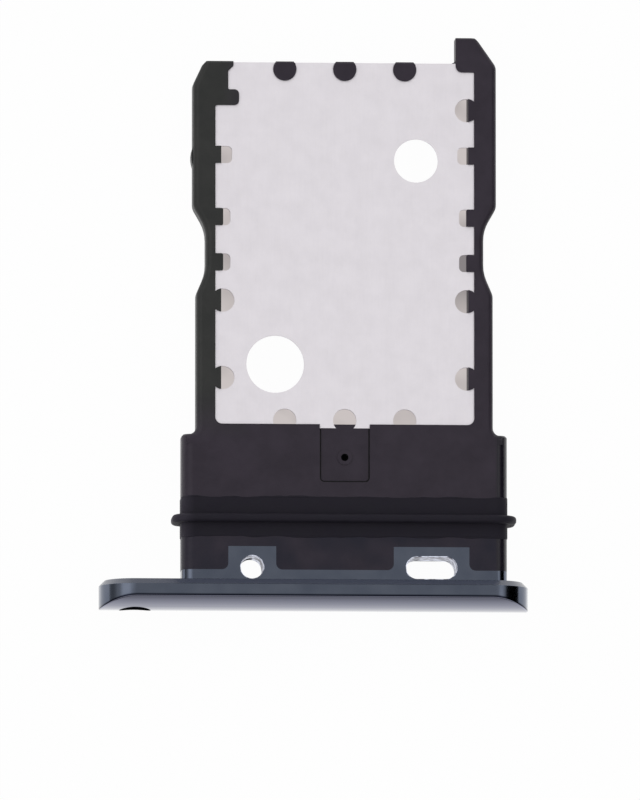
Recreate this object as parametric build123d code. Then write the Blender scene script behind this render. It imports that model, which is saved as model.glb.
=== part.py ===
from build123d import *
import os

# A tray for one small SIM card, with its faceplate, moulded frame, steel bed plate and seal.
# Sizes are in millimetres. Each piece is drawn with X from the tray's centre line, Y from the back of
# the faceplate towards the tail, and Z from the faceplate's lower edge. The card lies under the bed plate.
# The finished pieces are moved so that the origin is below the middle of the whole tray.

# Faceplate: a stadium with a crowned front, seen on the outside of the phone
FACE_LENGTH = 15.44
FACE_HEIGHT = 2.60
FACE_RIM = 0.64
FACE_CROWN = 0.41
FACE_BACK_CHAMFER = 0.20
FACE_FRONT_EDGE_RADIUS = 0.05
TRAY_OFFSET = 1.09
EJECT_HOLE_DIAMETER = 1.13

# Neck: the rounded block that fills the mouth of the phone's slot
NECK_THICKNESS = 1.60
NECK_LENGTH = 5.26
NECK_CORNER_RADIUS = 0.40
NECK_END_CHAMFER = 0.06
SHOULDER_WIDTH = 0.515
SHOULDER_RADIUS = 0.28
SHOULDER_FLAT = 0.06

# Tongue: the faceplate's own metal inside the neck, with a round hole and a slot in its two lugs
TONGUE_BAND = 0.37
LUG_REACH = 1.21
LUG_ROOT_RADIUS = 0.23
ROUND_LUG_X = -3.33
ROUND_LUG_WIDTH = 1.72
ROUND_HOLE_DIAMETER = 0.83
SLOT_LUG_X = 3.12
SLOT_LUG_WIDTH = 2.72
SLOT_LENGTH = 1.82
SLOT_WIDTH = 0.80
TONGUE_HOLE_Y = 0.46
WEB_THICKNESS = 0.60
WEB_SIDE_COVER = 0.90
WEB_END_COVER = 0.16

# Seal: a silicone ring in a groove round the neck, with a lip that stands out
SEAL_START = 1.60
SEAL_BAND = 1.37
SEAL_THICKNESS = 0.35
SEAL_PROUD = 0.02
LIP_Y = 2.22
LIP_THICKNESS = 0.29
LIP_OVERHANG = 0.34
LIP_TIP_RADIUS = 0.12
LEAST_CORNER_RADIUS = 0.05

# Card and the bed that it lies in
CARD_LENGTH = 12.30
CARD_WIDTH = 8.80
CARD_CORNER_CUT = 1.65
CARD_CLEARANCE = 0.10
BED_DEPTH = 0.80
BED_CORNER_RADIUS = 0.15
BED_FRONT_WALL = 0.37
BED_END_WALL = 0.73

# Bed plate: a stamped sheet, set a little below the frame's flat side
PLATE_THICKNESS = 0.15
PLATE_SINK = 0.08
PLATE_SIDE_LEDGE = 0.21
PLATE_FRONT_LAP = 0.135
PLATE_TAIL_SETBACK = 0.04
PLATE_CORNER_RADIUS = 0.25
PLATE_STEP_RADIUS = 0.04
LARGE_HOLE_DIAMETER = 2.08
LARGE_HOLE_X = -2.50
LARGE_HOLE_Y = 2.17
SMALL_HOLE_DIAMETER = 1.58
SMALL_HOLE_X = 2.57
SMALL_HOLE_Y = 9.56

# Notches round the bed plate, which the frame's plastic fills over the walls below.
# Their places are distances from the front of the bed. Each square one has its place and its reach
# past the bed's wall, and in those at the waist the plastic reaches a little past the wall too.
NOTCH_RADIUS = 0.42
NOTCH_INSET = 0.06
ROUND_NOTCH_PLACES = (1.67, 4.47)
SQUARE_NOTCHES = ((5.85, 0.33), (7.49, 0.33), (9.74, 0.39))
SQUARE_NOTCH_LENGTH = 0.62
WAIST_NUB_COUNT = 2
WAIST_NUB_REACH = 0.07
WAIST_NUB_RADIUS = 0.06
SQUARE_NOTCH_RADIUS = 0.17
RIGHT_NOTCH_PLACE = 11.39
END_NOTCH_COUNT = 3
END_NOTCH_PITCH = 2.16
FRONT_NOTCH_INSET = 0.14
TAIL_NOTCH_INSET = 0.24

# Arms: the frame's two sides, with a waist that the phone's catch drops into
ARM_LOWER_WALL = 0.89
ARM_UPPER_WALL = 1.01
ARM_EDGE_RADIUS = 0.22
ARM_FOOT_CHAMFER = 0.05
WAIST_WALL = 0.55
WAIST_START = 4.71
WAIST_LOWER_RAMP = 0.80
WAIST_FLAT = 1.55
WAIST_UPPER_RAMP = 0.80
WAIST_ROOT_RADIUS = 1.40
WAIST_CREST_RADIUS = 0.50
DETENT_PLACE = 9.68
DETENT_LENGTH = 0.70
DETENT_HEIGHT = 0.06

# Tails: the arms' ends, with hooks and a tab that reach over the sheet's corners
TAIL_CREST_RADIUS = 0.40
TAIL_BEVEL = 0.16
TAIL_EDGE_CHAMFER = 0.06
LEFT_TAIL_TAPER = 0.40
LEFT_TAIL_TAPER_LENGTH = 0.84
RIGHT_TAIL_EXTRA = 0.89
RIGHT_TAIL_TAPER = 0.68
RIGHT_TAIL_TAPER_LENGTH = 1.02
RIGHT_TAIL_ROOT_RADIUS = 0.12
RIGHT_HOOK_REACH = 0.45
RIGHT_HOOK_RADIUS = 0.23
HOOK_LENGTH = 0.36
LEFT_HOOK_REACH = 0.44
LEFT_HOOK_SLANT = 0.19
TAB_REACH = 0.64
TAB_LENGTH = 0.57
TAB_FROM_BED_END = 0.87
TAB_RADIUS = 0.17
TAB_ROOT_RADIUS = 0.08

# Gate: the shallow pocket where the plastic was let into the mould, and its mark
GATE_POCKET_WIDTH = 1.80
GATE_POCKET_LENGTH = 2.09
GATE_POCKET_RADIUS = 0.17
GATE_MARK_DIAMETER = 0.53
GATE_MARK_HEIGHT = 0.04
GATE_PIT_DIAMETER = 0.26
GATE_PIT_DEPTH = 0.35
GATE_GROOVE_WIDTH = 0.05
GATE_GROOVE_DEPTH = 0.07
GATE_MARK_FROM_BED = 1.19

# A cutter runs past the faces that it opens by this much
PAST = 0.50

# Two places nearer than this are the same place
SAME = 0.001

# Places that follow from the sizes above
MID_HEIGHT = FACE_HEIGHT / 2
FRAME_TOP = MID_HEIGHT + NECK_THICKNESS / 2
PLATE_TOP = FRAME_TOP - PLATE_SINK
PLATE_BOTTOM = PLATE_TOP - PLATE_THICKNESS
ARM_BOTTOM = PLATE_BOTTOM - BED_DEPTH
SEAL_END = SEAL_START + SEAL_BAND
BED_FRONT = NECK_LENGTH + BED_FRONT_WALL
BED_END = BED_FRONT + CARD_LENGTH + CARD_CLEARANCE
BED_HALF = (CARD_WIDTH + CARD_CLEARANCE) / 2
ARM_LOWER_HALF = BED_HALF + ARM_LOWER_WALL
ARM_UPPER_HALF = BED_HALF + ARM_UPPER_WALL
NECK_WIDTH = 2 * (ARM_LOWER_HALF + SHOULDER_WIDTH)
TAIL = BED_END + BED_END_WALL
PLATE_HALF = BED_HALF + PLATE_SIDE_LEDGE
PLATE_TAIL = TAIL - PLATE_TAIL_SETBACK
RIGHT_TAIL = TAIL + RIGHT_TAIL_EXTRA
FACE_DEPTH = FACE_RIM + FACE_CROWN
EJECT_HOLE_X = FACE_HEIGHT / 2 - FACE_LENGTH / 2 - TRAY_OFFSET
MIDDLE_Y = (RIGHT_TAIL - FACE_DEPTH) / 2


def outline(corners):
    """A closed face through corners given as x, y and the radius of the corner."""
    points = [(x, y) for x, y, _ in corners]
    radii = [radius for _, _, radius in corners]
    return make_face(FilletPolyline(*points, radius=radii, close=True).edges())


def slab(face, low, high):
    """The solid between two heights that has this face as its plan."""
    return extrude(Pos(0, 0, low) * face, amount=high - low)


def neck_length(grow, start, end):
    """A length of the neck's rounded section, grown all round, from one Y to another."""
    section = RectangleRounded(
        NECK_WIDTH + 2 * grow,
        NECK_THICKNESS + 2 * grow,
        max(NECK_CORNER_RADIUS + grow, LEAST_CORNER_RADIUS),
    )
    plane = Plane(origin=(0, start, MID_HEIGHT), x_dir=(1, 0, 0), z_dir=(0, 1, 0))
    return extrude(plane * section, amount=end - start)


def face_blank():
    """The stadium with its crowned front, before the hole."""
    plane = Plane(origin=(-TRAY_OFFSET, 0, MID_HEIGHT), x_dir=(1, 0, 0), z_dir=(0, -1, 0))
    blank = extrude(plane * SlotOverall(FACE_LENGTH, FACE_HEIGHT), amount=FACE_DEPTH)
    side = Plane(origin=(-TRAY_OFFSET, 0, 0), x_dir=(0, 1, 0), z_dir=(1, 0, 0))
    back = Polyline((-FACE_RIM, FACE_HEIGHT), (0, FACE_HEIGHT), (0, 0), (-FACE_RIM, 0))
    crown = ThreePointArc((-FACE_RIM, 0), (-FACE_DEPTH, MID_HEIGHT), (-FACE_RIM, FACE_HEIGHT))
    profile = make_face(back.edges() + crown.edges())
    blank = blank & extrude(side * profile, amount=FACE_LENGTH, both=True)
    blank = chamfer(blank.edges().group_by(Axis.Y)[-1], FACE_BACK_CHAMFER)
    front = blank.faces().sort_by(Axis.Y)[0]
    return fillet(front.edges(), FACE_FRONT_EDGE_RADIUS)


def tongue_metal():
    """The band, the two lugs and the thin web that the neck is moulded round, with no holes yet."""
    plan = Pos(0, (TONGUE_BAND - FACE_RIM) / 2) * Rectangle(NECK_WIDTH, TONGUE_BAND + FACE_RIM)
    for lug_x, lug_width in ((ROUND_LUG_X, ROUND_LUG_WIDTH), (SLOT_LUG_X, SLOT_LUG_WIDTH)):
        plan += Pos(lug_x, LUG_REACH / 2) * Rectangle(lug_width, LUG_REACH)
    band_edge = plan.vertices().filter_by(lambda v: abs(v.Y - TONGUE_BAND) < SAME)
    roots = band_edge.filter_by(lambda v: abs(v.X) < NECK_WIDTH / 2 - SAME)
    plan = fillet(roots, LUG_ROOT_RADIUS)
    full = slab(plan, 0, FACE_HEIGHT) & neck_length(0, -FACE_RIM / 2, LUG_REACH + PAST)
    web_reach = SEAL_START - WEB_END_COVER
    web = Pos(0, web_reach / 2, MID_HEIGHT) * Box(
        NECK_WIDTH - 2 * WEB_SIDE_COVER, web_reach, WEB_THICKNESS
    )
    return full + web


def faceplate(tongue):
    """The whole metal piece, with the eject hole and the two holes in the tongue."""
    hole_depth = 2 * (FACE_DEPTH + PAST)
    eject_hole = Pos(EJECT_HOLE_X, 0, MID_HEIGHT) * Rot(90, 0, 0) * Cylinder(
        EJECT_HOLE_DIAMETER / 2, hole_depth
    )
    round_hole = Pos(ROUND_LUG_X, TONGUE_HOLE_Y) * Circle(ROUND_HOLE_DIAMETER / 2)
    slot = Pos(SLOT_LUG_X, TONGUE_HOLE_Y) * SlotOverall(SLOT_LENGTH, SLOT_WIDTH)
    metal = face_blank() - eject_hole + tongue
    for hole in (round_hole, slot):
        metal -= slab(hole, 0, FACE_HEIGHT)
    return metal


def seal():
    """The silicone ring: a band in the groove and a lip with a rounded tip."""
    band = neck_length(SEAL_PROUD, SEAL_START, SEAL_END)
    lip = neck_length(LIP_OVERHANG, LIP_Y - LIP_THICKNESS / 2, LIP_Y + LIP_THICKNESS / 2)
    faces = lip.faces().sort_by(Axis.Y)
    lip = fillet(faces[0].edges() + faces[-1].edges(), LIP_TIP_RADIUS)
    return band + lip - neck_length(-SEAL_THICKNESS, SEAL_START, SEAL_END)


def square_notch(side, y, reach):
    """The plan of one square notch, open past the bed plate's edge."""
    width = reach + PLATE_SIDE_LEDGE + PAST
    middle = side * (BED_HALF - reach + width / 2)
    return Pos(middle, BED_FRONT + y) * RectangleRounded(
        width, SQUARE_NOTCH_LENGTH, SQUARE_NOTCH_RADIUS
    )


def notches():
    """The plan of every notch in the bed plate's edge."""
    round_places = [(side, y) for y in ROUND_NOTCH_PLACES for side in (-1, 1)]
    round_places.append((1, RIGHT_NOTCH_PLACE))
    cuts = Sketch()
    for side, y in round_places:
        cuts += Pos(side * (BED_HALF - NOTCH_INSET), BED_FRONT + y) * Circle(NOTCH_RADIUS)
    for y, reach in SQUARE_NOTCHES:
        for side in (-1, 1):
            cuts += square_notch(side, y, reach)
    for step in range(END_NOTCH_COUNT):
        x = (step - (END_NOTCH_COUNT - 1) / 2) * END_NOTCH_PITCH
        for y in (BED_FRONT + FRONT_NOTCH_INSET, PLATE_TAIL - TAIL_NOTCH_INSET):
            cuts += Pos(x, y) * Circle(NOTCH_RADIUS)
    return cuts


def plate_plan(front, tail):
    """The sheet's plan between these two ends, stepped round the hooks and the tab, with its notches."""
    hook_start = TAIL - HOOK_LENGTH
    left_step = LEFT_HOOK_REACH - LEFT_HOOK_SLANT - BED_HALF
    tab_start = BED_END - TAB_FROM_BED_END
    tab_tip = TAB_REACH - BED_HALF
    corners = [
        (-PLATE_HALF, front, PLATE_CORNER_RADIUS),
        (PLATE_HALF, front, PLATE_CORNER_RADIUS),
        (PLATE_HALF, hook_start, PLATE_STEP_RADIUS),
        (BED_HALF - RIGHT_HOOK_REACH, hook_start, RIGHT_HOOK_RADIUS),
        (BED_HALF - RIGHT_HOOK_REACH, tail, 0),
        (LEFT_HOOK_REACH - BED_HALF, tail, 0),
        (LEFT_HOOK_REACH - BED_HALF, hook_start + LEFT_HOOK_SLANT, PLATE_STEP_RADIUS),
        (left_step, hook_start, PLATE_STEP_RADIUS),
        (left_step, tab_start + TAB_LENGTH, PLATE_STEP_RADIUS),
        (tab_tip, tab_start + TAB_LENGTH, TAB_RADIUS),
        (tab_tip, tab_start, TAB_RADIUS),
        (-PLATE_HALF, tab_start, TAB_ROOT_RADIUS),
    ]
    return outline(corners) - notches()


def bed_plate():
    """The stamped sheet with its two round holes."""
    plan = plate_plan(BED_FRONT - PLATE_FRONT_LAP, PLATE_TAIL)
    plan -= Pos(LARGE_HOLE_X, BED_FRONT + LARGE_HOLE_Y) * Circle(LARGE_HOLE_DIAMETER / 2)
    plan -= Pos(SMALL_HOLE_X, BED_FRONT + SMALL_HOLE_Y) * Circle(SMALL_HOLE_DIAMETER / 2)
    return slab(plan, PLATE_BOTTOM, PLATE_TOP)


def arms_plan():
    """The outline of the arms, the waist, the two tails and the flares at the shoulder."""
    low, high, waist = ARM_LOWER_HALF, ARM_UPPER_HALF, BED_HALF + WAIST_WALL
    flare = SHOULDER_RADIUS + SHOULDER_FLAT
    waist_start = BED_FRONT + WAIST_START
    waist_foot = waist_start + WAIST_LOWER_RAMP
    waist_head = waist_foot + WAIST_FLAT
    waist_end = waist_head + WAIST_UPPER_RAMP
    side = [
        (low + flare, NECK_LENGTH - flare, 0),
        (low + flare, NECK_LENGTH, 0),
        (low, NECK_LENGTH, SHOULDER_RADIUS),
        (low, waist_start, WAIST_CREST_RADIUS),
        (waist, waist_foot, WAIST_ROOT_RADIUS),
        (waist, waist_head, WAIST_ROOT_RADIUS),
        (high, waist_end, WAIST_CREST_RADIUS),
    ]
    right_tip = high - RIGHT_TAIL_TAPER
    right_end = [
        (high, RIGHT_TAIL - RIGHT_TAIL_TAPER_LENGTH, TAIL_CREST_RADIUS),
        (right_tip + TAIL_BEVEL / 2, RIGHT_TAIL - TAIL_BEVEL, 0),
        (right_tip - TAIL_BEVEL / 2, RIGHT_TAIL, 0),
        (BED_HALF - RIGHT_HOOK_REACH, RIGHT_TAIL, 0),
        (BED_HALF - RIGHT_HOOK_REACH, TAIL, RIGHT_TAIL_ROOT_RADIUS),
    ]
    left_tip = high - LEFT_TAIL_TAPER
    left_end = [
        (TAIL_BEVEL / 2 - left_tip, TAIL, 0),
        (-TAIL_BEVEL / 2 - left_tip, TAIL - TAIL_BEVEL, 0),
        (-high, TAIL - LEFT_TAIL_TAPER_LENGTH, TAIL_CREST_RADIUS),
    ]
    return outline(side + right_end + left_end + [(-x, y, radius) for x, y, radius in reversed(side)])


def arms():
    """The slab of the arms, with its edges rounded and the catch bump on its left side."""
    body = slab(arms_plan(), ARM_BOTTOM, FRAME_TOP)
    along = body.edges().group_by(Axis.Z)[-1].filter_by(Axis.Y)
    lower_sides = along.filter_by(lambda e: abs(abs(e.center().X) - ARM_LOWER_HALF) < SAME)
    body = fillet(lower_sides, ARM_EDGE_RADIUS)
    across = body.edges().group_by(Axis.Z)[-1].filter_by(Axis.X)
    body = chamfer(across.filter_by(lambda e: e.center().Y > BED_END), TAIL_EDGE_CHAMFER)
    body = chamfer(body.edges().group_by(Axis.Z)[0], ARM_FOOT_CHAMFER)
    return body + detent()


def detent():
    """A low rounded bump that clicks past the phone's catch."""
    radius = (DETENT_LENGTH**2 / 4 + DETENT_HEIGHT**2) / (2 * DETENT_HEIGHT)
    centre_x = radius - ARM_UPPER_HALF - DETENT_HEIGHT
    bump = Pos(centre_x, BED_FRONT + DETENT_PLACE) * Circle(radius)
    window = Pos(-ARM_UPPER_HALF, BED_FRONT + DETENT_PLACE) * Rectangle(
        2 * DETENT_HEIGHT, DETENT_LENGTH
    )
    return slab(bump & window, ARM_BOTTOM, FRAME_TOP - ARM_EDGE_RADIUS)


def bed_plan():
    """The card's own outline with its clearance, one corner cut at the tail."""
    corner = CARD_CORNER_CUT
    return outline(
        [
            (-BED_HALF, BED_FRONT, BED_CORNER_RADIUS),
            (BED_HALF, BED_FRONT, BED_CORNER_RADIUS),
            (BED_HALF, BED_END, BED_CORNER_RADIUS),
            (corner - BED_HALF, BED_END, BED_CORNER_RADIUS),
            (-BED_HALF, BED_END - corner, BED_CORNER_RADIUS),
        ]
    )


def waist_nubs():
    """What the frame's plastic reaches past the bed's walls in the notches at the waist."""
    nubs = Part()
    for y, reach in SQUARE_NOTCHES[:WAIST_NUB_COUNT]:
        for side in (-1, 1):
            wall = Pos(side * BED_HALF, BED_FRONT + y) * RectangleRounded(
                2 * WAIST_NUB_REACH, SQUARE_NOTCH_LENGTH, WAIST_NUB_RADIUS
            )
            nubs += slab(square_notch(side, y, reach) & wall, PLATE_BOTTOM, FRAME_TOP)
    return nubs


def end_strip():
    """What is taken off the end wall's outside, so that only its lugs stand past the bed plate."""
    start = LEFT_HOOK_REACH - BED_HALF
    end = BED_HALF - RIGHT_HOOK_REACH - RIGHT_TAIL_ROOT_RADIUS
    strip = Pos((start + end) / 2, PLATE_TAIL + PAST / 2) * Rectangle(end - start, PAST)
    return slab(strip - notches(), ARM_BOTTOM - PAST, PLATE_TOP)


def gate_outline(inset):
    """The plan of the gate's pocket, drawn in by this much at its sides and its front."""
    half = GATE_POCKET_WIDTH / 2 - inset
    front = BED_FRONT - GATE_POCKET_LENGTH + inset
    back = BED_FRONT + NOTCH_INSET
    radius = GATE_POCKET_RADIUS - inset
    return outline([(-half, front, radius), (half, front, radius), (half, back, 0), (-half, back, 0)])


def gate():
    """The pocket's cutter with the groove round it, and the raised mark on its floor with a pit."""
    pocket = slab(gate_outline(0), PLATE_TOP, FRAME_TOP + PAST)
    groove_plan = gate_outline(0) - gate_outline(GATE_GROOVE_WIDTH)
    pocket += slab(groove_plan, PLATE_TOP - GATE_GROOVE_DEPTH, PLATE_TOP)
    mark_at = Pos(0, BED_FRONT - GATE_MARK_FROM_BED)
    mark = slab(mark_at * Circle(GATE_MARK_DIAMETER / 2), PLATE_BOTTOM, PLATE_TOP + GATE_MARK_HEIGHT)
    pit = slab(
        mark_at * Circle(GATE_PIT_DIAMETER / 2),
        PLATE_TOP + GATE_MARK_HEIGHT - GATE_PIT_DEPTH,
        FRAME_TOP + PAST,
    )
    return pocket, mark, pit


def neck():
    """The neck's block behind the tongue's band, waisted by the seal's groove."""
    front = neck_length(0, TONGUE_BAND, SEAL_START)
    core = neck_length(-SEAL_THICKNESS, SEAL_START, SEAL_END)
    back = neck_length(0, SEAL_END, NECK_LENGTH)
    back = chamfer(back.faces().sort_by(Axis.Y)[-1].edges(), NECK_END_CHAMFER)
    return front + core + back


def tray_frame(tongue):
    """The whole moulding."""
    pocket, mark, pit = gate()
    frame = neck() + arms()
    frame -= slab(bed_plan(), ARM_BOTTOM - PAST, FRAME_TOP + PAST)
    frame -= slab(plate_plan(BED_FRONT - PLATE_FRONT_LAP, TAIL + PAST), PLATE_BOTTOM, PLATE_TOP)
    frame -= slab(plate_plan(BED_FRONT, TAIL + PAST), PLATE_TOP, FRAME_TOP + PAST)
    frame = frame - pocket + mark - pit + waist_nubs() - end_strip()
    return frame - tongue


def write(node, solid):
    """Moves a piece to the part's own frame and writes it."""
    placed = Pos(TRAY_OFFSET, -MIDDLE_Y, 0) * solid
    placed.label = node
    export_step(placed, os.path.join("parts", node + ".step"))


os.makedirs("parts", exist_ok=True)
tongue = tongue_metal()
write("faceplate", faceplate(tongue))
write("tray_frame", tray_frame(tongue))
write("bed_plate", bed_plate())
write("seal", seal())
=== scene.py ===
import math

import bmesh
import bpy
from mathutils import Matrix, Vector, noise

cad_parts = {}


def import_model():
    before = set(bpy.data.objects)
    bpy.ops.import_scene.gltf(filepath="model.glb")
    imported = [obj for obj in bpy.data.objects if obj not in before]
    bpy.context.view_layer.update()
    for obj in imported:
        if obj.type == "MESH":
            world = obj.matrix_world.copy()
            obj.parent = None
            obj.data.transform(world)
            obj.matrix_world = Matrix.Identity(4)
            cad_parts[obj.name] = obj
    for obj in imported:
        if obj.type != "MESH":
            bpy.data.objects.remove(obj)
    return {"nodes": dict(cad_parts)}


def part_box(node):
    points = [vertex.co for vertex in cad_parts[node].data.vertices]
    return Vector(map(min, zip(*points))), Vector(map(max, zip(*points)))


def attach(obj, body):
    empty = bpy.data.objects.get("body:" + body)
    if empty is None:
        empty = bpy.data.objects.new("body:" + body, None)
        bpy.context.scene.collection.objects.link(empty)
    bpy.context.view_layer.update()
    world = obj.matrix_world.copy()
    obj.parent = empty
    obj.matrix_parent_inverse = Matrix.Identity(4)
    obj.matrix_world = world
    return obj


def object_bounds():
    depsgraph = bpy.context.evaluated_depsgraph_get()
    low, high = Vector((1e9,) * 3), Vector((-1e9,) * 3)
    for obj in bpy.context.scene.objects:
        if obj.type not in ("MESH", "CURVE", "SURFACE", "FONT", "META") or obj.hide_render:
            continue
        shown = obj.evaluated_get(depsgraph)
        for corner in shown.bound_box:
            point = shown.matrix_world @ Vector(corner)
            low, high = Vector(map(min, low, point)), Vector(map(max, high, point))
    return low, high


# A SIM card tray that lies card side down, seen from above its steel bed plate.
# Everything is in metres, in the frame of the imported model.

MM = 0.001

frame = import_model()
cad_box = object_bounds()
nodes = frame["nodes"]

# Camera: a long lens above the tray, tipped a little to its front and to its left
LENS = 1000
SENSOR = 36
PIXELS_HIGH = 800
PIXELS_PER_MM = 27.83
VIEW_CENTRE = Vector((0.200 * MM, -2.79 * MM, 2.02 * MM))
TIP_TO_FRONT = math.radians(6.3)
TIP_TO_LEFT = math.radians(3.3)
NEAREST_SEEN = 0.01
FARTHEST_SEEN = 10

# Floor: the tray leans on the faceplate's lower edge and on the end of its longer arm
ARM_UNDERSIDE = 1.07
FLOOR_RADIUS = 60 * MM
FLOOR_SIDES = 96
FLOOR_GAP = 0.01 * MM
FLOOR_CARD = (0.86, 0.86, 0.86, 1)
FLOOR_ROUGHNESS = 0.9
FLOOR_WHITE = 0.975
# Reflections see it fade from 1 near the faceplate to this level, between these distances in millimetres
FLOOR_FAR = 0.50
FADE_START = 1.5
FADE_END = 7.5
# Under the bed's walls the card is in shade, from a box's soft edge to an open box in it: millimetres
SHADE_LIGHT = (0.60, 0.55, 0.54, 1)
SHADE_DARK = (0.47, 0.43, 0.425, 1)
SHADE_GRAIN = (0.7, 1.0)
SHADE_RANGE = (0.45, 0.75)
SHADE_MIDDLE = (1.15, 2.35)
SHADE_HALF = (4.90, 6.70)
SHADE_RADIUS = 0.5
SHADE_SOFT = 0.4
OPEN_MIDDLE = (1.18, 5.34)
OPEN_HALF = (3.70, 8.00)
OPEN_RADIUS = 0.1
# The soft border of a box that has none of its own
SHARP = 0.002
# The shade is deepest at the waist, more so on the right, where it grows along this run of X
DEEP_SHADE = (0.25, 0.23, 0.235, 1)
DEEP_MIDDLE = (1.18, 2.35)
DEEP_HALF = (8.00, 1.90)
DEEP_RADIUS = 1.4
DEEP_SOFT = 1.3
DEEP_RUN = (-7.0, 5.2)
# Reflections see a brighter card past the tray's ends, beyond this X in millimetres
SIDE_START = 7.8
SIDE_FULL = 8.6
SIDE_LEVEL = 1.8

# Light: a plain even surround. Reflections see screens in it, each with its direction, its half angle
# and soft edge in degrees, and its level against the surround
WORLD_LIGHT = 0.60
SCREENS = (
    ((0.0, -1.0, 0.15), 26, 8, 0.12),
    ((0.0, 1.0, 0.20), 30, 15, 1.90),
    ((0.94, 0.0, 0.33), 26.5, 3, 0.0),
    ((0.48, 0.05, 0.88), 3, 8, 2.10),
    ((-0.49, 0.10, 0.87), 10, 13, 2.30),
    ((-0.98, 0.0, 0.19), 7, 13, 0.40),
)
LAMP_DISTANCE = 1.20
# Each lamp's name, direction, size in metres and level
LAMPS = (
    ("lamp_above", (0.10, 0.30, 1), 3.60, 0.25),
    ("lamp_left", (-1, 0.2, 0.6), 0.75, 0.20),
)

# Each grain is a number to the millimetre, its detail and its roughness, and most of its noise lies
# in this range
NOISE_RANGE = (0.3, 0.7)

# The metal piece, in millimetres: its crowned front, the eject hole in X and Z, and the tongue's holes
CROWN_RISE = 0.41
FACE_HEIGHT = 2.60
CROWN_RADIUS = (FACE_HEIGHT**2 / 4 + CROWN_RISE**2) / (2 * CROWN_RISE)
CROWN_AXIS = (0, cad_box[0].y / MM + CROWN_RADIUS, FACE_HEIGHT / 2)
EJECT_HOLE = (-6.42, 1.30)
EJECT_HOLE_RADIUS = 0.57
ROUND_HOLE = (-2.24, -8.84)
ROUND_HOLE_RADIUS = 0.43
SLOT = (4.21, -8.84)
SLOT_HALF_RUN = 0.51
SLOT_RADIUS = 0.42
# Its glossy front and that front's dark edge: how far below the crown each starts and is full
CROWN_FRONT = (0.020, 0.006)
CROWN_EDGE = (0.088, 0.045)
FRONT_COLOUR = (0.160, 0.168, 0.245, 1)
FRONT_ROUGHNESS = 0.10
COAT_ROUGHNESS = 0.04
COAT_IOR = 1.7
EDGE_COLOUR = (0.006, 0.007, 0.014, 1)
SATIN_DARK = (0.064, 0.074, 0.099, 1)
SATIN_LIGHT = (0.080, 0.091, 0.117, 1)
SATIN_ROUGHNESS = (0.13, 0.19)
SATIN_CLOUD = (0.9, 2.0)
BLAST_GRAIN = (22.0, 4.0, 0.7)
BLAST_DEPTH = 0.0008 * MM
BARE_DARK = (0.05, 0.05, 0.08, 1)
BARE_LIGHT = (0.74, 0.77, 0.90, 1)
BARE_ROUGHNESS = 0.38
SCUFF_GRAIN = (2.6, 2.0)
SCUFF_RANGE = (0.43, 0.57)
# Painted shade: the eject hole's walls and the gate's pit are painted near black
HOLE_SHADE_BLACK = (0.004, 0.004, 0.006, 1)
HOLE_ROUGHNESS = 0.6
# A dark mark low on the round hole's back wall, in X and Z
MARK_MIDDLE = (-2.34, 0.72)
MARK_HALF = (0.19, 0.40)
MARK_RADIUS = 0.15
MARK_SOFT = 0.12
# The faceplate's back chamfer has a painted reflection: it is paler and not metallic, from the first run of
# Y in millimetres to the second
CHAMFER_LIGHT_FRONT = (-9.50, -9.48)
CHAMFER_LIGHT_BACK = (-9.31, -9.30)
CHAMFER_LIGHT_COLOUR = (0.066, 0.076, 0.112, 1)

# The plastic: purplish, but neutral in the left arm, past this run of Y and before this run of X, and
# darker and smoother along the neck's right corner, where a dark reflection is painted, all in millimetres
NECK_DARK = (0.0160, 0.0110, 0.0195, 1)
NECK_LIGHT = (0.0245, 0.0180, 0.0290, 1)
ARMS_DARK = (0.0145, 0.0155, 0.0150, 1)
ARMS_LIGHT = (0.0225, 0.0230, 0.0220, 1)
PLASTIC_ROUGHNESS = (0.40, 0.52)
PLASTIC_SPECULAR = 0.25
PLASTIC_GRAIN = (16.0, 3.0, 0.65)
PLASTIC_DEPTH = 0.004 * MM
PLASTIC_CLOUD = (1.1, 2.0)
TINT_RUN = (-4.2, -2.4)
TINT_SIDE = (-3.3, -2.3)
DARK_REFLECTION_START = (6.50, 6.58)
DARK_REFLECTION_COLOUR = (0.0090, 0.0070, 0.0130, 1)
DARK_REFLECTION_ROUGHNESS = 0.26
# In front of the seal it has patchy painted shade, up to this run of Y in millimetres
NECK_SHADE_END = (-7.70, -7.60)
NECK_SHADE_GRAIN = (0.5, 2.0)
NECK_SHADE_RANGE = (0.38, 0.62)
NECK_SHADE_LEAST = 0.3
NECK_SHADE_COLOUR = (0.0035, 0.0030, 0.0115, 1)
# The gate's pocket with the groove inside its edge, and the pit in its mark
GATE_MIDDLE = (1.09, -4.60)
GATE_HALF = (0.90, 1.16)
GATE_RADIUS = 0.17
GATE_INNER_MIDDLE = (1.09, -4.54)
GATE_INNER_HALF = (0.86, 1.18)
GATE_INNER_RADIUS = 0.13
GROOVE_COLOUR = (0.002, 0.002, 0.003, 1)
PIT = (1.09, -4.86)
PIT_RADIUS = 0.135

# The seal
SEAL_DARK = (0.0080, 0.0068, 0.0120, 1)
SEAL_LIGHT = (0.0130, 0.0112, 0.0180, 1)
SEAL_ROUGHNESS = (0.62, 0.78)
SEAL_SPECULAR = 0.18
SEAL_GRAIN = (30.0, 3.0, 0.7)
SEAL_DEPTH = 0.003 * MM
SEAL_CLOUD = (2.2, 3.0)
SEAL_CLOUD_DEPTH = 0.010 * MM
# Painted light makes its left end paler, up to this run of X in millimetres
SEAL_LEFT_LIGHT_RUN = (-4.70, -4.30)
SEAL_LEFT_LIGHT_COLOUR = (0.024, 0.021, 0.031, 1)

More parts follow.
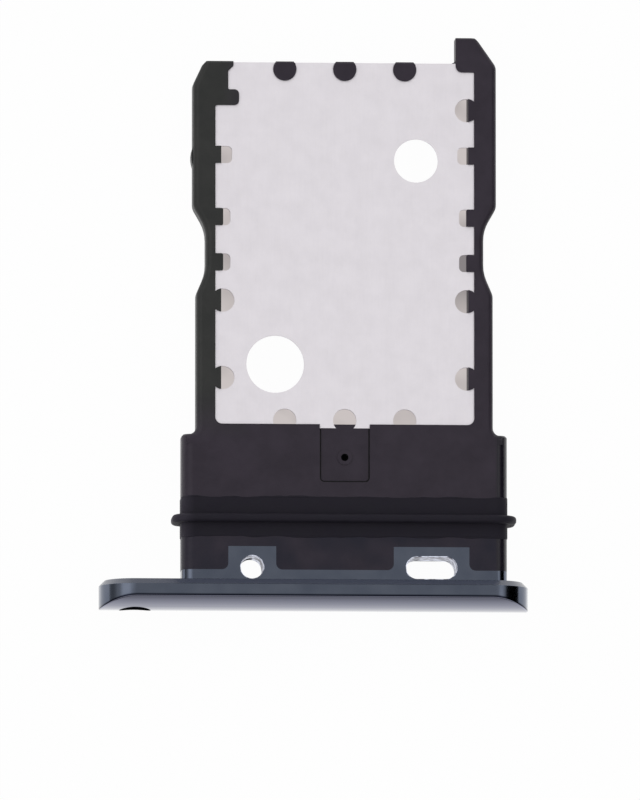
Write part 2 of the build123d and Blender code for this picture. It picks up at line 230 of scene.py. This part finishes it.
# The steel sheet, with rolling lines along the tray
STEEL_DARK = (0.632, 0.605, 0.636, 1)
STEEL_LIGHT = (0.668, 0.640, 0.672, 1)
STEEL_ROUGHNESS = (0.40, 0.50)
STEEL_METALLIC = 0.9
STEEL_MOTTLE = (1.6, 4.0, 0.6)
STEEL_GRAIN = (26.0, 4.0, 0.7)
STEEL_LINES = (18.0, 3.0, 0.6)
STEEL_LINES_SQUEEZE = (1.0, 0.06, 1.0)
STEEL_DEPTH = 0.0008 * MM

# The seal's flash: thin ragged edges of silicone on the neck's plastic
NECK_WIDTH = 11.71 * MM
NECK_THICKNESS = 1.60 * MM
NECK_CORNER = 0.40 * MM
NECK_HEIGHT = 1.30 * MM
FLASH_STEPS = 360
FLASH_LEAST = 0.015 * MM
FLASH_MOST = 0.075 * MM
FLASH_THICKNESS = 0.020 * MM
FLASH_EDGE = 0.004 * MM
FLASH_GRAIN = 1100
# Its reach is a middle level with waves added, each with its fineness and its share
FLASH_LEVEL = 0.5
FLASH_WAVES = ((1.0, 0.9), (3.1, 0.35))
# Part of the way out, at this share of its reach, it has this share of its thickness
FLASH_MIDWAY = 0.6
FLASH_MIDWAY_THICKNESS = 0.7
# Each edge's name, its end of the seal, the way it reaches along Y and its place in the noise
FLASHES = (("seal_flash_front", 0, -1, 3.0), ("seal_flash_back", 1, 1, 11.0))


def adder(tree):
    """A function that adds a node to a tree, with its settings and its inputs, which may be sockets."""

    def add(kind, settings=None, **inputs):
        node = tree.nodes.new(kind)
        for key, value in (settings or {}).items():
            setattr(node, key, value)
        for key, value in inputs.items():
            socket = node.inputs[int(key[1:])] if key[0] == "_" else node.inputs[key.replace("_", " ")]
            if isinstance(value, bpy.types.NodeSocket):
                tree.links.new(value, socket)
            else:
                socket.default_value = value
        return node

    return add


def material(name):
    """A new material with its node tree, its principled shader, and a function that adds nodes."""
    made = bpy.data.materials.new(name)
    made.use_nodes = True
    tree = made.node_tree
    return made, tree, tree.nodes["Principled BSDF"], adder(tree)


def vectors(add, operation, first, second):
    """What an operation makes of two vectors."""
    return add("ShaderNodeVectorMath", {"operation": operation}, _0=first, _1=second).outputs[0]


def flat_length(add, vector, axes):
    """A vector's length along the axes that have 1 and not 0 here."""
    flat = vectors(add, "MULTIPLY", vector, axes)
    return add("ShaderNodeVectorMath", {"operation": "LENGTH"}, _0=flat).outputs["Value"]


def place_in_mm(add):
    """The surface's place in the part's frame, in millimetres."""
    place = add("ShaderNodeTexCoord").outputs["Object"]
    return add("ShaderNodeVectorMath", {"operation": "SCALE"}, _0=place, Scale=1 / MM).outputs[0]


def grain(add, place, scale, detail, roughness=0.6, squeeze=None):
    """Noise at a number of grains to the millimetre, stretched along an axis where squeeze says so."""
    if squeeze:
        place = vectors(add, "MULTIPLY", place, squeeze)
    made = add("ShaderNodeTexNoise", Vector=place, Scale=scale, Detail=detail, Roughness=roughness)
    return made.outputs["Fac"]


def spread(add, value, low, high, out_low, out_high):
    """A value's range from low to high made into another range."""
    made = add("ShaderNodeMapRange", _0=value, _1=low, _2=high, _3=out_low, _4=out_high)
    return made.outputs["Result"]


def from_noise(add, value, out_low, out_high):
    """A noise's usual range made into another range."""
    return spread(add, value, *NOISE_RANGE, out_low, out_high)


def between(add, share, first, second):
    """A value between two, by share."""
    return spread(add, share, 0, 1, first, second)


def blend_colours(add, share, first, second):
    """A colour between two, by share."""
    return add("ShaderNodeMix", {"data_type": "RGBA"}, _0=share, _6=first, _7=second).outputs[2]


def either(add, first, second):
    """The larger of two values."""
    return add("ShaderNodeMath", {"operation": "MAXIMUM"}, _0=first, _1=second).outputs[0]


def difference(add, first, second):
    """The first value less the second, from 0 to 1."""
    settings = {"operation": "SUBTRACT", "use_clamp": True}
    return add("ShaderNodeMath", settings, _0=first, _1=second).outputs[0]


def both(add, first, second):
    """The product of two values."""
    return add("ShaderNodeMath", {"operation": "MULTIPLY"}, _0=first, _1=second).outputs[0]


def bump(add, tree, shader, heights):
    """Joins bumps, each a height and its depth in metres, to the shader."""
    normal = None
    for height, depth in heights:
        made = add("ShaderNodeBump", Height=height, Strength=1.0, Distance=depth)
        if normal is not None:
            tree.links.new(normal, made.inputs["Normal"])
        normal = made.outputs["Normal"]
    tree.links.new(normal, shader.inputs["Normal"])


def inside_hole(add, place, middle, half_run, radius):
    """1 inside an upright hole whose plan is a circle drawn out along X by half_run each way, 0 outside."""
    off = vectors(add, "SUBTRACT", place, (*middle, 0))
    nearest = vectors(add, "MINIMUM", off, (half_run, 0, 0))
    nearest = vectors(add, "MAXIMUM", nearest, (-half_run, 0, 0))
    along = vectors(add, "MULTIPLY", nearest, (1, 0, 0))
    length = flat_length(add, vectors(add, "SUBTRACT", off, along), (1, 1, 0))
    return add("ShaderNodeMath", {"operation": "LESS_THAN"}, _0=length, _1=radius).outputs[0]


def inside_box(add, place, middle, half, radius, soft=SHARP):
    """1 inside a box with this middle, half size, corner radius and soft border in plan, 0 outside."""
    straight = (half[0] - radius, half[1] - radius)
    off = vectors(add, "SUBTRACT", place, (*middle, 0))
    away = add("ShaderNodeVectorMath", {"operation": "ABSOLUTE"}, _0=off).outputs[0]
    over = vectors(add, "MAXIMUM", vectors(add, "SUBTRACT", away, (*straight, 0)), (0, 0, 0))
    return spread(add, flat_length(add, over, (1, 1, 0)), radius - soft, radius, 1, 0)


def before(add, place, y_from, y_to):
    """1 at the front of the tray up to y_from, falling to 0 at y_to."""
    y = add("ShaderNodeSeparateXYZ", Vector=place).outputs["Y"]
    return spread(add, y, y_from, y_to, 1, 0)


def along_x(add, place, x_from, x_to):
    """0 up to x_from, rising to 1 at x_to."""
    x = add("ShaderNodeSeparateXYZ", Vector=place).outputs["X"]
    return spread(add, x, x_from, x_to, 0, 1)


def near_crown(add, place, start, full):
    """1 on the crowned front, and from full to start millimetres below it falling to 0."""
    length = flat_length(add, vectors(add, "SUBTRACT", place, CROWN_AXIS), (0, 1, 1))
    return spread(add, length, CROWN_RADIUS - start, CROWN_RADIUS - full, 0, 1)


def anodised_metal():
    """Dark blue-black anodised aluminium: satin, glossy in front, bright metal in the tongue's holes."""
    made, tree, shader, add = material("anodised_metal")
    place = place_in_mm(add)
    blasted = grain(add, place, *BLAST_GRAIN)
    cloud = from_noise(add, grain(add, place, *SATIN_CLOUD), 0, 1)
    front = near_crown(add, place, *CROWN_FRONT)
    edge = near_crown(add, place, *CROWN_EDGE)
    satin = blend_colours(add, cloud, SATIN_DARK, SATIN_LIGHT)
    # Painted reflection: the back chamfer is painted paler, and it is not metallic
    chamfer_light = difference(add, before(add, place, *CHAMFER_LIGHT_BACK), before(add, place, *CHAMFER_LIGHT_FRONT))
    satin = blend_colours(add, chamfer_light, satin, CHAMFER_LIGHT_COLOUR)
    polished = blend_colours(add, front, blend_colours(add, edge, satin, EDGE_COLOUR), FRONT_COLOUR)
    bare = either(
        add,
        inside_hole(add, place, ROUND_HOLE, 0.0, ROUND_HOLE_RADIUS),
        inside_hole(add, place, SLOT, SLOT_HALF_RUN, SLOT_RADIUS),
    )
    scuff = spread(add, grain(add, place, *SCUFF_GRAIN), *SCUFF_RANGE, 0, 1)
    parts = add("ShaderNodeSeparateXYZ", Vector=place).outputs
    turned = add("ShaderNodeCombineXYZ", X=parts["X"], Y=parts["Z"]).outputs[0]
    mark = inside_box(add, turned, MARK_MIDDLE, MARK_HALF, MARK_RADIUS, MARK_SOFT)
    mark = both(add, mark, bare)
    scuff = difference(add, scuff, mark)
    with_bare = blend_colours(add, bare, polished, blend_colours(add, scuff, BARE_DARK, BARE_LIGHT))
    # Painted shade: the eject hole's walls are painted near black
    pin_hole = inside_hole(add, turned, EJECT_HOLE, 0.0, EJECT_HOLE_RADIUS)
    tree.links.new(blend_colours(add, pin_hole, with_bare, HOLE_SHADE_BLACK), shader.inputs["Base Color"])
    rough = from_noise(add, blasted, *SATIN_ROUGHNESS)
    rough = between(add, front, rough, FRONT_ROUGHNESS)
    rough = between(add, bare, rough, BARE_ROUGHNESS)
    rough = between(add, mark, rough, 1.0)
    tree.links.new(between(add, pin_hole, rough, HOLE_ROUGHNESS), shader.inputs["Roughness"])
    tree.links.new(between(add, pin_hole, front, 0), shader.inputs["Coat Weight"])
    shader.inputs["Coat Roughness"].default_value = COAT_ROUGHNESS
    shader.inputs["Coat IOR"].default_value = COAT_IOR
    tree.links.new(difference(add, 1.0, either(add, chamfer_light, mark)), shader.inputs["Metallic"])
    bump(add, tree, shader, [(blasted, BLAST_DEPTH)])
    return made


def frame_plastic():
    """Black moulded plastic with a fine matt mould texture."""
    made, tree, shader, add = material("frame_plastic")
    place = place_in_mm(add)
    texture = grain(add, place, *PLASTIC_GRAIN)
    mottle = from_noise(add, grain(add, place, *PLASTIC_CLOUD), 0, 1)
    neck = blend_colours(add, mottle, NECK_DARK, NECK_LIGHT)
    arms = blend_colours(add, mottle, ARMS_DARK, ARMS_LIGHT)
    purplish = either(add, before(add, place, *TINT_RUN), along_x(add, place, *TINT_SIDE))
    neutral = difference(add, 1.0, purplish)
    colour = blend_colours(add, neutral, neck, arms)
    # Painted shade: the plastic in front of the seal is painted darker in patches
    patches = spread(add, grain(add, place, *NECK_SHADE_GRAIN), *NECK_SHADE_RANGE, NECK_SHADE_LEAST, 1)
    neck_shade = both(add, before(add, place, *NECK_SHADE_END), patches)
    colour = blend_colours(add, neck_shade, colour, NECK_SHADE_COLOUR)
    # Painted dark reflection: the neck's right corner is painted darker, and made smoother
    dark_reflection = both(add, along_x(add, place, *DARK_REFLECTION_START), before(add, place, *TINT_RUN))
    colour = blend_colours(add, dark_reflection, colour, DARK_REFLECTION_COLOUR)
    whole = inside_box(add, place, GATE_MIDDLE, GATE_HALF, GATE_RADIUS)
    inner = inside_box(add, place, GATE_INNER_MIDDLE, GATE_INNER_HALF, GATE_INNER_RADIUS)
    colour = blend_colours(add, difference(add, whole, inner), colour, GROOVE_COLOUR)
    # Painted shade: the gate's pit is painted near black
    sunk = inside_hole(add, place, PIT, 0.0, PIT_RADIUS)
    tree.links.new(blend_colours(add, sunk, colour, HOLE_SHADE_BLACK), shader.inputs["Base Color"])
    rough = from_noise(add, texture, *PLASTIC_ROUGHNESS)
    rough = between(add, dark_reflection, rough, DARK_REFLECTION_ROUGHNESS)
    tree.links.new(between(add, sunk, rough, 1.0), shader.inputs["Roughness"])
    shader.inputs["Specular IOR Level"].default_value = PLASTIC_SPECULAR
    bump(add, tree, shader, [(texture, PLASTIC_DEPTH)])
    return made


def seal_silicone():
    """Black silicone with a soft uneven surface."""
    made, tree, shader, add = material("seal_silicone")
    place = place_in_mm(add)
    fine = grain(add, place, *SEAL_GRAIN)
    cloud = grain(add, place, *SEAL_CLOUD)
    colour = blend_colours(add, from_noise(add, cloud, 0, 1), SEAL_DARK, SEAL_LIGHT)
    # Painted light: the seal's left end is painted paler
    colour = blend_colours(add, along_x(add, place, *SEAL_LEFT_LIGHT_RUN), SEAL_LEFT_LIGHT_COLOUR, colour)
    tree.links.new(colour, shader.inputs["Base Color"])
    tree.links.new(from_noise(add, cloud, *SEAL_ROUGHNESS), shader.inputs["Roughness"])
    shader.inputs["Specular IOR Level"].default_value = SEAL_SPECULAR
    bump(add, tree, shader, [(fine, SEAL_DEPTH), (cloud, SEAL_CLOUD_DEPTH)])
    return made


def bed_steel():
    """Matt rolled steel sheet with a faint mottle and rolling lines along the tray."""
    made, tree, shader, add = material("bed_steel")
    place = place_in_mm(add)
    mottle = from_noise(add, grain(add, place, *STEEL_MOTTLE), 0, 1)
    fine = grain(add, place, *STEEL_GRAIN)
    lines = grain(add, place, *STEEL_LINES, squeeze=STEEL_LINES_SQUEEZE)
    colour = blend_colours(add, mottle, STEEL_DARK, STEEL_LIGHT)
    tree.links.new(colour, shader.inputs["Base Color"])
    tree.links.new(from_noise(add, lines, *STEEL_ROUGHNESS), shader.inputs["Roughness"])
    shader.inputs["Metallic"].default_value = STEEL_METALLIC
    bump(add, tree, shader, [(fine, STEEL_DEPTH), (lines, STEEL_DEPTH)])
    return made


def neck_section(steps):
    """Points round the neck's rounded section, each with its outward direction."""
    half_width = NECK_WIDTH / 2 - NECK_CORNER
    half_height = NECK_THICKNESS / 2 - NECK_CORNER
    straight = 2 * half_width
    upright = 2 * half_height
    quarter = math.pi * NECK_CORNER / 2
    runs = (straight, quarter, upright, quarter, straight, quarter, upright, quarter)
    total = sum(runs)
    corners = ((1, 1), (1, -1), (-1, -1), (-1, 1))
    points = []
    for step in range(steps):
        along = total * step / steps
        for index, run in enumerate(runs):
            if along < run:
                break
            along -= run
        side, turning = divmod(index, 2)
        angle = math.pi / 2 - side * math.pi / 2
        if turning:
            angle -= along / NECK_CORNER
            x, z = corners[side][0] * half_width, corners[side][1] * half_height
        else:
            back = corners[side - 1]
            x, z = back[0] * half_width, back[1] * half_height
            x += along * math.cos(angle - math.pi / 2)
            z += along * math.sin(angle - math.pi / 2)
        outward = Vector((math.cos(angle), 0, math.sin(angle)))
        points.append((Vector((x, 0, z)) + outward * NECK_CORNER, outward))
    return points


def flash(name, edge_y, away, seed):
    """A ragged ribbon of silicone round the neck, thin at its outer edge."""
    low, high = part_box("tray_frame")
    centre = Vector((low.x + high.x, 0, 0)) / 2 + Vector((0, 0, NECK_HEIGHT))
    mesh = bmesh.new()
    rings = []
    for point, outward in neck_section(FLASH_STEPS):
        spot = (centre + point) * FLASH_GRAIN + Vector((seed, seed, seed))
        ragged = FLASH_LEVEL
        for fineness, share in FLASH_WAVES:
            ragged += share * noise.noise(spot * fineness)
        reach = FLASH_LEAST + max(0.0, min(1.0, ragged)) * (FLASH_MOST - FLASH_LEAST)
        inner = centre + point + Vector((0, edge_y, 0))
        outer = inner + Vector((0, away * reach, 0))
        middle = inner + Vector((0, away * reach * FLASH_MIDWAY, 0))
        rings.append(
            [
                mesh.verts.new(inner + outward * FLASH_THICKNESS),
                mesh.verts.new(middle + outward * FLASH_THICKNESS * FLASH_MIDWAY_THICKNESS),
                mesh.verts.new(outer + outward * FLASH_EDGE),
                mesh.verts.new(outer - outward * FLASH_EDGE),
                mesh.verts.new(inner - outward * FLASH_EDGE),
            ]
        )
    for index, ring in enumerate(rings):
        after = rings[(index + 1) % len(rings)]
        for corner in range(len(ring)):
            following = (corner + 1) % len(ring)
            mesh.faces.new((ring[corner], after[corner], after[following], ring[following]))
    bmesh.ops.recalc_face_normals(mesh, faces=mesh.faces)
    data = bpy.data.meshes.new(name)
    mesh.to_mesh(data)
    mesh.free()
    data.shade_smooth()
    piece = bpy.data.objects.new(name, data)
    bpy.context.scene.collection.objects.link(piece)
    return piece


def floor_material(rest_y):
    """Pale card that the camera and reflections see almost white, with the shade below the bed's walls."""
    made, tree, shader, add = material("floor_card")
    shader.inputs["Base Color"].default_value = FLOOR_CARD
    shader.inputs["Roughness"].default_value = FLOOR_ROUGHNESS
    shader.inputs["Specular IOR Level"].default_value = 0.0
    rays = add("ShaderNodeLightPath").outputs
    seen = either(add, rays["Is Camera Ray"], rays["Is Transmission Ray"])
    seen = either(add, seen, rays["Is Glossy Ray"])
    share = both(add, seen, FLOOR_WHITE)
    place = place_in_mm(add)
    spot = add("ShaderNodeSeparateXYZ", Vector=place).outputs
    aside = add("ShaderNodeMath", {"operation": "ABSOLUTE"}, _0=spot["X"]).outputs[0]
    back = -rest_y / MM
    middle = (SHADE_MIDDLE[0], SHADE_MIDDLE[1] + back)
    under = inside_box(add, place, middle, SHADE_HALF, SHADE_RADIUS, SHADE_SOFT)
    middle = (OPEN_MIDDLE[0], OPEN_MIDDLE[1] + back)
    open_part = inside_box(add, place, middle, OPEN_HALF, OPEN_RADIUS)
    band = difference(add, under, open_part)
    patches = spread(add, grain(add, place, *SHADE_GRAIN), *SHADE_RANGE, 0, 1)
    shade = blend_colours(add, patches, SHADE_LIGHT, SHADE_DARK)
    middle = (DEEP_MIDDLE[0], DEEP_MIDDLE[1] + back)
    deep = inside_box(add, place, middle, DEEP_HALF, DEEP_RADIUS, DEEP_SOFT)
    deep = both(add, deep, along_x(add, place, *DEEP_RUN))
    shade = blend_colours(add, deep, shade, DEEP_SHADE)
    shaded = blend_colours(add, band, (1, 1, 1, 1), shade)
    fade = spread(add, spot["Y"], -FADE_END, -FADE_START, FLOOR_FAR, 1.0)
    sides = spread(add, aside, SIDE_START, SIDE_FULL, 1.0, SIDE_LEVEL)
    fade = both(add, fade, sides)
    level = add("ShaderNodeMix", Factor=rays["Is Glossy Ray"], _2=1.0, _3=fade).outputs[0]
    white = add("ShaderNodeEmission", Color=shaded, Strength=level).outputs[0]
    lit = add("ShaderNodeMixShader", _0=share, _1=shader.outputs[0], _2=white).outputs[0]
    clear = add("ShaderNodeBsdfTransparent").outputs[0]
    behind = add("ShaderNodeNewGeometry").outputs["Backfacing"]
    last = add("ShaderNodeMixShader", _0=behind, _1=lit, _2=clear).outputs[0]
    tree.links.new(last, tree.nodes["Material Output"].inputs["Surface"])
    return made


def floor():
    """A pale disc that touches the faceplate's lower front edge and the longer arm's lower end."""
    rest_y = cad_box[0].y + CROWN_RISE * MM
    slope = math.atan2(ARM_UNDERSIDE * MM, cad_box[1].y - rest_y)
    mesh = bmesh.new()
    bmesh.ops.create_circle(mesh, cap_ends=True, segments=FLOOR_SIDES, radius=FLOOR_RADIUS)
    data = bpy.data.meshes.new("floor")
    mesh.to_mesh(data)
    mesh.free()
    made = bpy.data.objects.new("floor", data)
    made.rotation_euler = (slope, 0, 0)
    made.location = (0, rest_y, -FLOOR_GAP)
    made.data.materials.append(floor_material(rest_y))
    bpy.context.scene.collection.objects.link(made)


def world():
    """White for the camera, a plain even light for the rest, and the screens in reflections."""
    made = bpy.data.worlds.new("studio")
    made.use_nodes = True
    made.cycles.sampling_method = "NONE"
    tree = made.node_tree
    add = adder(tree)
    rays = add("ShaderNodeLightPath").outputs
    direction = add("ShaderNodeTexCoord").outputs["Generated"]
    mirrored = 1.0
    for aim, half, soft, level in SCREENS:
        towards = Vector(aim).normalized()
        near = add("ShaderNodeVectorMath", {"operation": "DOT_PRODUCT"}, _0=direction, _1=towards)
        outer, inner = math.cos(math.radians(half + soft)), math.cos(math.radians(half))
        screen = spread(add, near.outputs["Value"], outer, inner, 1.0, level)
        mirrored = both(add, mirrored, screen)
    seen = either(add, rays["Is Camera Ray"], rays["Is Transmission Ray"])
    plain = between(add, seen, WORLD_LIGHT, 1)
    strength = add("ShaderNodeMix", Factor=rays["Is Glossy Ray"], _2=plain, _3=mirrored).outputs[0]
    background = tree.nodes["Background"]
    background.inputs["Color"].default_value = (1, 1, 1, 1)
    tree.links.new(strength, background.inputs["Strength"])
    bpy.context.scene.world = made


def lamp(name, direction, size, level):
    """A square soft lamp that faces the tray, as bright as this share of full daylight on a pale card."""
    data = bpy.data.lights.new(name, "AREA")
    data.shape = "SQUARE"
    data.size = size
    data.energy = level * math.pi**2 * LAMP_DISTANCE**2
    made = bpy.data.objects.new(name, data)
    towards = Vector(direction).normalized()
    made.location = towards * LAMP_DISTANCE
    made.rotation_mode = "QUATERNION"
    made.rotation_quaternion = (-towards).to_track_quat("-Z", "Y")
    made.visible_glossy = False
    bpy.context.scene.collection.objects.link(made)


def camera():
    """The photograph's view, with the tray's steel side towards the lens."""
    data = bpy.data.cameras.new("camera")
    data.lens = LENS
    data.sensor_width = SENSOR
    data.clip_start = NEAREST_SEEN
    data.clip_end = FARTHEST_SEEN
    distance = PIXELS_HIGH / PIXELS_PER_MM * MM / SENSOR * LENS
    back = Vector((-math.tan(TIP_TO_LEFT), -math.tan(TIP_TO_FRONT), 1)).normalized()
    right = Vector((0, 1, 0)).cross(back).normalized()
    up = back.cross(right)
    made = bpy.data.objects.new("camera", data)
    axes = Matrix((right, up, back)).transposed()
    made.matrix_world = Matrix.Translation(VIEW_CENTRE + back * distance) @ axes.to_4x4()
    bpy.context.scene.collection.objects.link(made)
    bpy.context.scene.camera = made


def dress(node, made):
    """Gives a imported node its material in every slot."""
    data = nodes[node].data
    data.materials.clear()
    data.materials.append(made)


camera()
world()
floor()
for lamp_row in LAMPS:
    lamp(*lamp_row)

silicone = seal_silicone()
dress("faceplate", anodised_metal())
dress("tray_frame", frame_plastic())
dress("bed_plate", bed_steel())
dress("seal", silicone)

seal_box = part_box("seal")
for name, end, away, seed in FLASHES:
    ribbon = flash(name, seal_box[end].y, away, seed)
    ribbon.data.materials.append(silicone)
    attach(ribbon, "root")

bpy.context.scene.view_settings.view_transform = "Standard"
